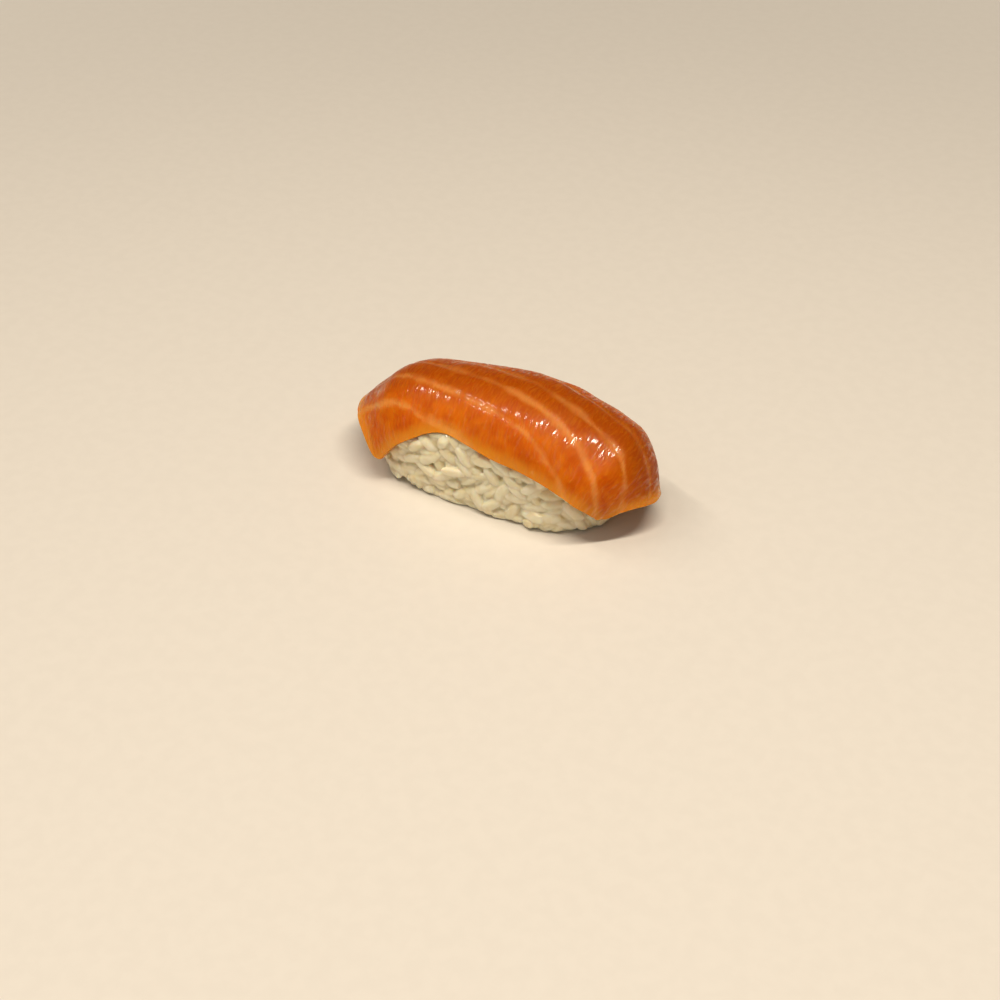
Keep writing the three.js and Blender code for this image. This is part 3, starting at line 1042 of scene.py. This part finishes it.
def mottling_group():
    """Soft spots of two tones."""
    inputs = [("Place", "NodeSocketVector", None), ("Size", "NodeSocketFloat", 3.0)]
    outputs = [("Tone", "NodeSocketFloat")]
    tree, given, result = new_group("Mottling", "ShaderNodeTree", inputs, outputs)
    fill(tree, result["Tone"], remap(tree, noise(tree, given["Place"], given["Size"]), *SPOTS))
    return tree


def moist_film_group():
    """A film in the hollows, which is smooth, while what stands out of it is dry and rougher."""
    inputs = [
        ("Place", "NodeSocketVector", None),
        ("Size", "NodeSocketFloat", 1.0),
        ("Wet Roughness", "NodeSocketFloat", 0.2),
        ("Dry Roughness", "NodeSocketFloat", 0.45),
    ]
    outputs = [("Roughness", "NodeSocketFloat"), ("Height", "NodeSocketFloat")]
    tree, given, result = new_group("Moist film", "ShaderNodeTree", inputs, outputs)
    dry = remap(tree, noise(tree, given["Place"], given["Size"], detail=3.0), *PATCHES)
    values = {0: dry, 1: 0.0, 2: 1.0, 3: given["Wet Roughness"], 4: given["Dry Roughness"]}
    fill(tree, result["Roughness"], add(tree, "ShaderNodeMapRange", values).outputs[0])
    fill(tree, result["Height"], dry)
    return tree


MOTTLING = mottling_group()
MOIST_FILM = moist_film_group()
print("shared groups:", MOTTLING.name, "and", MOIST_FILM.name)


# %% Placing the groups
def mottled(tree, place, size):
    """The mottling's tone, from 0 to 1."""
    return add(tree, "ShaderNodeGroup", {"Place": place, "Size": size}, node_tree=MOTTLING).outputs[0]


def moist(tree, place, size, wet, dry):
    """The film's roughness and height."""
    values = {"Place": place, "Size": size, "Wet Roughness": wet, "Dry Roughness": dry}
    node = add(tree, "ShaderNodeGroup", values, node_tree=MOIST_FILM)
    return node.outputs["Roughness"], node.outputs["Height"]


def shader_of(material, **constants):
    """The material's tree and its Principled shader, whose sockets take these constants."""
    material.use_nodes = True
    shader = material.node_tree.nodes["Principled BSDF"]
    for name, value in constants.items():
        shader.inputs[name.replace("_", " ")].default_value = value
    return material.node_tree, shader


# %% [markdown]
# ## Cooked rice
# A cooked grain is translucent at its skin and whiter inside, so light goes some way into it. The
# creases hold moist starch and look a little yellower, and painted shade darkens them as well. A clear
# shell over a white inside would be truer and much slower to render, so subsurface scattering under a
# thin coat stands in for it. Two values that the mesh keeps, each grain's tone and the distance to the
# next one, make the colour follow the grains.

# %% Rice material
RICE_COLOURS = {
    "clear": linear(229, 216, 174),
    "white": linear(241, 234, 208),
    # The crease colour is the yellower moist starch together with painted shade that darkens it.
    "crease_starch_and_shade": linear(200, 179, 128),
}
WHITER = {"by_grain": 0.5, "by_spot": 0.5, "spot_size": 1.7}
# How far from a crease the starch colour and painted shade reach, and their largest share.
CREASE_STARCH_AND_SHADE = {"reach": 0.35, "share": 0.18}
RICE_FILM = {"size": 0.6, "wet": 0.28, "dry": 0.5}


def dress_rice(material):
    """Pale grains of slightly different whiteness, with creases yellower from starch and darker from
    painted shade, and a moist film.
    """
    tree, shader = shader_of(
        material,
        Subsurface_Weight=0.8,
        Subsurface_Radius=(1.0, 0.82, 0.55),
        Subsurface_Scale=1.3 * MM,
        Coat_Weight=0.5,
        Coat_Roughness=0.16,
        IOR=1.4,
    )
    place = millimetres(tree)
    spots = calculate(tree, "MULTIPLY", mottled(tree, place, WHITER["spot_size"]), WHITER["by_spot"])
    tone = attribute(tree, "grain_tone")
    whiteness = calculate(tree, "MULTIPLY_ADD", tone, WHITER["by_grain"], spots)
    colour = mix(tree, whiteness, RICE_COLOURS["clear"], RICE_COLOURS["white"])
    clear_of_next = attribute(tree, "clear_of_next")
    # Painted shade with the starch colour: darker and yellower close to where two grains meet.
    starch_and_shade = remap(tree, clear_of_next, 0.0, CREASE_STARCH_AND_SHADE["reach"], CREASE_STARCH_AND_SHADE["share"], 0.0)
    fill(tree, shader.inputs["Base Color"], mix(tree, starch_and_shade, colour, RICE_COLOURS["crease_starch_and_shade"]))
    roughness, height = moist(tree, place, **RICE_FILM)
    fill(tree, shader.inputs["Roughness"], roughness)
    bumped(tree, shader, height, strength=0.35, distance=0.05)


dress_rice(rice_material)
rice.data.materials.clear()
rice.data.materials.append(rice_material)
print(rice_material.name, "has", len(rice_material.node_tree.nodes), "nodes")

# %% [markdown]
# ## Raw salmon
# The flesh is deep orange and lets light in, most of all where the slice is thin. Pale fat lines cross
# it, soft at their edges and thinner in places. Fine fibres run across the slice from one line to the
# next, and they break up every highlight on the wet surface. A picture wrapped over the slice would
# stretch where it bends. So each pattern is worked out from places on the flat slice, which the mesh
# keeps for every point, and it bends with the fish.

# %% Colours and fibres of the salmon
SALMON_COLOURS = {
    # The lean colour is painted shade: a darker orange for the back of the slice, which faces away from
    # the lights.
    "lean": linear(150, 62, 0),
    "deep": linear(187, 79, 0),
    "light": linear(203, 101, 2),
    "thin": linear(220, 138, 34),
    "fat": linear(226, 152, 76),
}
# Sizes are in millimetres of the flat slice.
FINE_FIBRE = {"width": 0.45, "length": 2.5}
COARSE_FIBRE = {"width": 0.6, "length": 3.0}
SWAY = {"size": 3.0, "reach": 0.8}


def fibres(tree, place, width, length):
    """Noise drawn out across the slice, as the muscle fibres lie. They waver a little."""
    swing = noise(tree, place, SWAY["size"])
    sway = calculate(tree, "MULTIPLY_ADD", swing, 2 * SWAY["reach"], -SWAY["reach"])
    swayed = vector_math(tree, "ADD", place, vector(tree, x=sway))
    fineness = (1 / width, 1 / length, 1 / length)
    return noise(tree, vector_math(tree, "MULTIPLY", swayed, fineness), 1.0)


# %% The salmon's fat
# Widths and strengths are the least and the most along a line, and sizes are those of the changes.
FAT = {
    "widths": (0.69, 1.61),
    "width_size": 7.0,
    "strengths": (0.3, 0.85),
    "strength_size": 8.0,
    "strong_from": (0.36, 0.6),
    "opacity": 0.7,
    "halo": 2.6,
    "halo_share": 0.4,
    "wander": 0.14,
    "wander_size": 5.0,
    "feather": 1.3,
}
# A change has the start and the end of its stretch, and the shares there. This one runs over
# distances across the slice.
FAT_FADES = (-9.0, 3.0, 1.0, 0.38)


def across_slice(tree, place):
    """The distance across the slice, which is negative at the front."""
    return add(tree, "ShaderNodeSeparateXYZ", {0: place}).outputs["Y"]


def fat_mask(tree, place, fibre):
    """The fat lines, feathered by the fibres that end in them, and the paler flesh beside them."""
    wander = calculate(tree, "SUBTRACT", noise(tree, place, FAT["wander_size"]), 0.5)
    layer = calculate(tree, "MULTIPLY_ADD", wander, FAT["wander"], attribute(tree, "fat_layer"))
    beyond_line = calculate(tree, "SUBTRACT", layer, calculate(tree, "ROUND", layer))
    layers_off = calculate(tree, "ABSOLUTE", beyond_line)
    off_line = calculate(tree, "MULTIPLY", layers_off, attribute(tree, "fat_spacing"))
    feather = calculate(tree, "MULTIPLY", calculate(tree, "SUBTRACT", fibre, 0.5), FAT["feather"])
    feathered = calculate(tree, "ADD", off_line, feather)
    width = remap(tree, noise(tree, place, FAT["width_size"]), *PATCHES, *FAT["widths"])
    line = remap(tree, feathered, 0.0, width, 1.0, 0.0)
    patchy = noise(tree, place, FAT["strength_size"])
    strength = remap(tree, patchy, *FAT["strong_from"], *FAT["strengths"])
    faded = remap(tree, across_slice(tree, place), *FAT_FADES)
    strength = calculate(tree, "MULTIPLY", strength, faded)
    halo = remap(tree, off_line, 0.0, FAT["halo"], 1.0, 0.0)
    return calculate(tree, "MULTIPLY", line, strength), halo


# %% The salmon's flesh
FLESH_SPOTS = 4.0
# Two changes run over distances across the slice and paint shade, darker towards the back; one runs
# from its edge inwards and one over the fibres.
BACK_SHADE = (-11.0, 0.0, 0.0, 0.9)
LESS_BACK_SHADE = (4.0, 10.0, 1.0, 0.4)
THIN = (0.2, 3.4, 0.9, 0.0)
PALE_FIBRE = (0.4, 0.7, 0.0, 0.14)


def flesh_colour(tree, place, fibre, line, halo):
    """Mottled flesh with painted shade darker towards the back, clearer at the thin edge, with the fat
    lines over it.
    """
    spots = mottled(tree, place, FLESH_SPOTS)
    colour = mix(tree, spots, SALMON_COLOURS["deep"], SALMON_COLOURS["light"])
    across = across_slice(tree, place)
    back_shade, less_back_shade = remap(tree, across, *BACK_SHADE), remap(tree, across, *LESS_BACK_SHADE)
    layers = [
        (calculate(tree, "MULTIPLY", halo, FAT["halo_share"]), "light"),
        # Painted shade: the back of the slice turns darker, and less so at its far back edge.
        (calculate(tree, "MULTIPLY", back_shade, less_back_shade), "lean"),
        (remap(tree, fibre, *PALE_FIBRE), "thin"),
        (remap(tree, attribute(tree, "from_edge"), *THIN), "thin"),
        (calculate(tree, "MULTIPLY", line, FAT["opacity"]), "fat"),
    ]
    for share, name in layers:
        colour = mix(tree, share, colour, SALMON_COLOURS[name])
    return colour


# %% Salmon material
# The change runs over the coarse fibres, and the ridges are shares of the bump's height.
WET_FIBRE = (0.51, 0.6, 0.0, 0.85)
RIDGES = {"coarse": (0.3, 0.7), "fine": 0.3, "film": 0.2}
SALMON_FILM = {"size": 1.6, "wet": 0.3, "dry": 0.5}


def dress_salmon(material):
    """Translucent flesh under a film of moisture that glints on the coarse fibres alone."""
    tree, shader = shader_of(
        material,
        Subsurface_Weight=0.5,
        Subsurface_Radius=(1.0, 0.35, 0.12),
        Subsurface_Scale=2.2 * MM,
        IOR=1.37,
        Specular_IOR_Level=0.15,
        Coat_Roughness=0.13,
    )
    place = attribute(tree, "flat", "Vector")
    fine_fibre = fibres(tree, place, **FINE_FIBRE)
    coarse_fibre = fibres(tree, place, **COARSE_FIBRE)
    line, halo = fat_mask(tree, place, fine_fibre)
    fill(tree, shader.inputs["Base Color"], flesh_colour(tree, place, fine_fibre, line, halo))
    roughness, dry = moist(tree, place, **SALMON_FILM)
    fill(tree, shader.inputs["Roughness"], roughness)
    fill(tree, shader.inputs["Coat Weight"], remap(tree, coarse_fibre, *WET_FIBRE))
    height = remap(tree, coarse_fibre, *RIDGES["coarse"])
    height = calculate(tree, "MULTIPLY_ADD", fine_fibre, RIDGES["fine"], height)
    height = calculate(tree, "MULTIPLY_ADD", dry, RIDGES["film"], height)
    bumped(tree, shader, height, strength=0.5, distance=0.06)


salmon_material = bpy.data.materials.new("Raw salmon")
dress_salmon(salmon_material)
salmon.data.materials.append(salmon_material)
print(salmon_material.name, "has", len(salmon_material.node_tree.nodes), "nodes")

# %% [markdown]
# ## Fixing both pieces to the model
# Each piece rides on the model's one body and stands in for its node, which is hidden. Joined into one
# mesh they would render alike, but then neither could be changed or left out on its own.

# %% Ride and replace
for piece, node in ((rice, "rice"), (salmon, "salmon")):
    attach(piece, "root")
    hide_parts(node)
    print(piece.name, "rides on root and replaces", node)

# %% [markdown]
# ## The studio
# A pale floor, two long narrow lights overhead and a broad weak one in front. The long lights draw the
# broken line of highlights along the slice. Far away the floor glows in the backdrop's own colour, so
# that no edge shows where the two meet.

# %% Floor
FLOOR = {"reach": 4000, "level": -0.02, "glow_from": 150, "glow_to": 520}
FLOOR_TONES = (linear(219, 213, 204), linear(221, 215, 206))
FLOOR_SPOTS = 3.0
BACKDROP = linear(224, 209, 187)
BLACK = (0, 0, 0, 1)


def floor_object():
    """A pale matt floor, which turns into a glow of the backdrop's colour far from the piece."""
    outline = [(-1, -1), (1, -1), (1, 1), (-1, 1)]
    corners = [(x * FLOOR["reach"], y * FLOOR["reach"], FLOOR["level"]) for x, y in outline]
    piece = mesh_object("floor", corners, [(0, 1, 2, 3)], smooth=False)
    material = bpy.data.materials.new("Pale floor")
    tree, shader = shader_of(material, Roughness=0.45, Emission_Strength=1.0)
    place = millimetres(tree)
    colour = mix(tree, mottled(tree, place, FLOOR_SPOTS), *FLOOR_TONES)
    away = add(tree, "ShaderNodeVectorMath", {0: place}, operation="LENGTH").outputs["Value"]
    glow = remap(tree, away, FLOOR["glow_from"], FLOOR["glow_to"])
    fill(tree, shader.inputs["Base Color"], mix(tree, glow, colour, BLACK))
    fill(tree, shader.inputs["Emission Color"], mix(tree, glow, BLACK, BACKDROP))
    piece.data.materials.append(material)
    return piece


floor = floor_object()
print("floor:", 2 * FLOOR["reach"], "mm a side, glowing from", FLOOR["glow_from"], "mm out")

# %% Lights
AIMED_AT = Vector((0, 0, 12))
WARM = (1, 0.89, 0.74)
PALE = (1, 0.94, 0.87)


def soft_light(name, place, size, heading, watts, colour):
    """A rectangle of light aimed at the piece. Its length runs along the heading, in degrees from X."""
    lamp = bpy.data.lights.new(name, "AREA")
    lamp.shape = "RECTANGLE"
    lamp.size, lamp.size_y = size[0] * MM, size[1] * MM
    lamp.energy = watts
    lamp.color = colour
    light = new_object(name, lamp)
    back = (Vector(place) - AIMED_AT).normalized()
    angle = math.radians(heading)
    side = back.cross(Vector((math.cos(angle), math.sin(angle), 0))).normalized()
    light.rotation_euler = Matrix((side.cross(back), side, back)).transposed().to_euler()
    light.location = Vector(place) * MM


soft_light("left_strip", (-350, -125, 610), (520, 24), -23, 1.5, WARM)
soft_light("right_strip", (150, -80, 610), (500, 40), 42, 3.8, WARM)
soft_light("front", (-60, -850, 900), (2200, 1400), 0, 4.5, PALE)

# %% Backdrop
FILL_LIGHT = (0.05, 0.047, 0.043, 1)


def studio_world():
    """A dim fill all round, which the camera sees as the colour that the floor runs out to."""
    world = bpy.data.worlds.new("Studio")
    world.use_nodes = True
    tree = world.node_tree
    seen = tree.nodes.new("ShaderNodeLightPath").outputs["Is Camera Ray"]
    fill(tree, tree.nodes["Background"].inputs["Color"], mix(tree, seen, FILL_LIGHT, BACKDROP))
    return world


bpy.context.scene.world = studio_world()
bpy.context.scene.view_settings.view_transform = "Standard"
print("world:", bpy.context.scene.world.name)

# %% Camera
CAMERA = {
    "azimuth": 29.0,
    "elevation": 38.6,
    "field": 32.0,
    "distance": 356.3,
    "aim": (2.257, -6.427, 0.0),
}


def camera_object():
    """A camera at this distance from its aim, seen round from the front and up from the floor."""
    camera = new_object("camera", bpy.data.cameras.new("camera"))
    camera.data.lens = camera.data.sensor_width / 2 / math.tan(math.radians(CAMERA["field"]) / 2)
    camera.data.clip_start = 10 * MM
    azimuth, elevation = math.radians(CAMERA["azimuth"]), math.radians(CAMERA["elevation"])
    level = math.cos(elevation)
    back = Vector((math.sin(azimuth) * level, -math.cos(azimuth) * level, math.sin(elevation)))
    camera.location = (Vector(CAMERA["aim"]) + back * CAMERA["distance"]) * MM
    camera.rotation_euler = back.to_track_quat("Z", "Y").to_euler()
    return camera


bpy.context.scene.camera = camera_object()
print("camera at", [round(value / MM) for value in bpy.context.scene.camera.location], "mm")
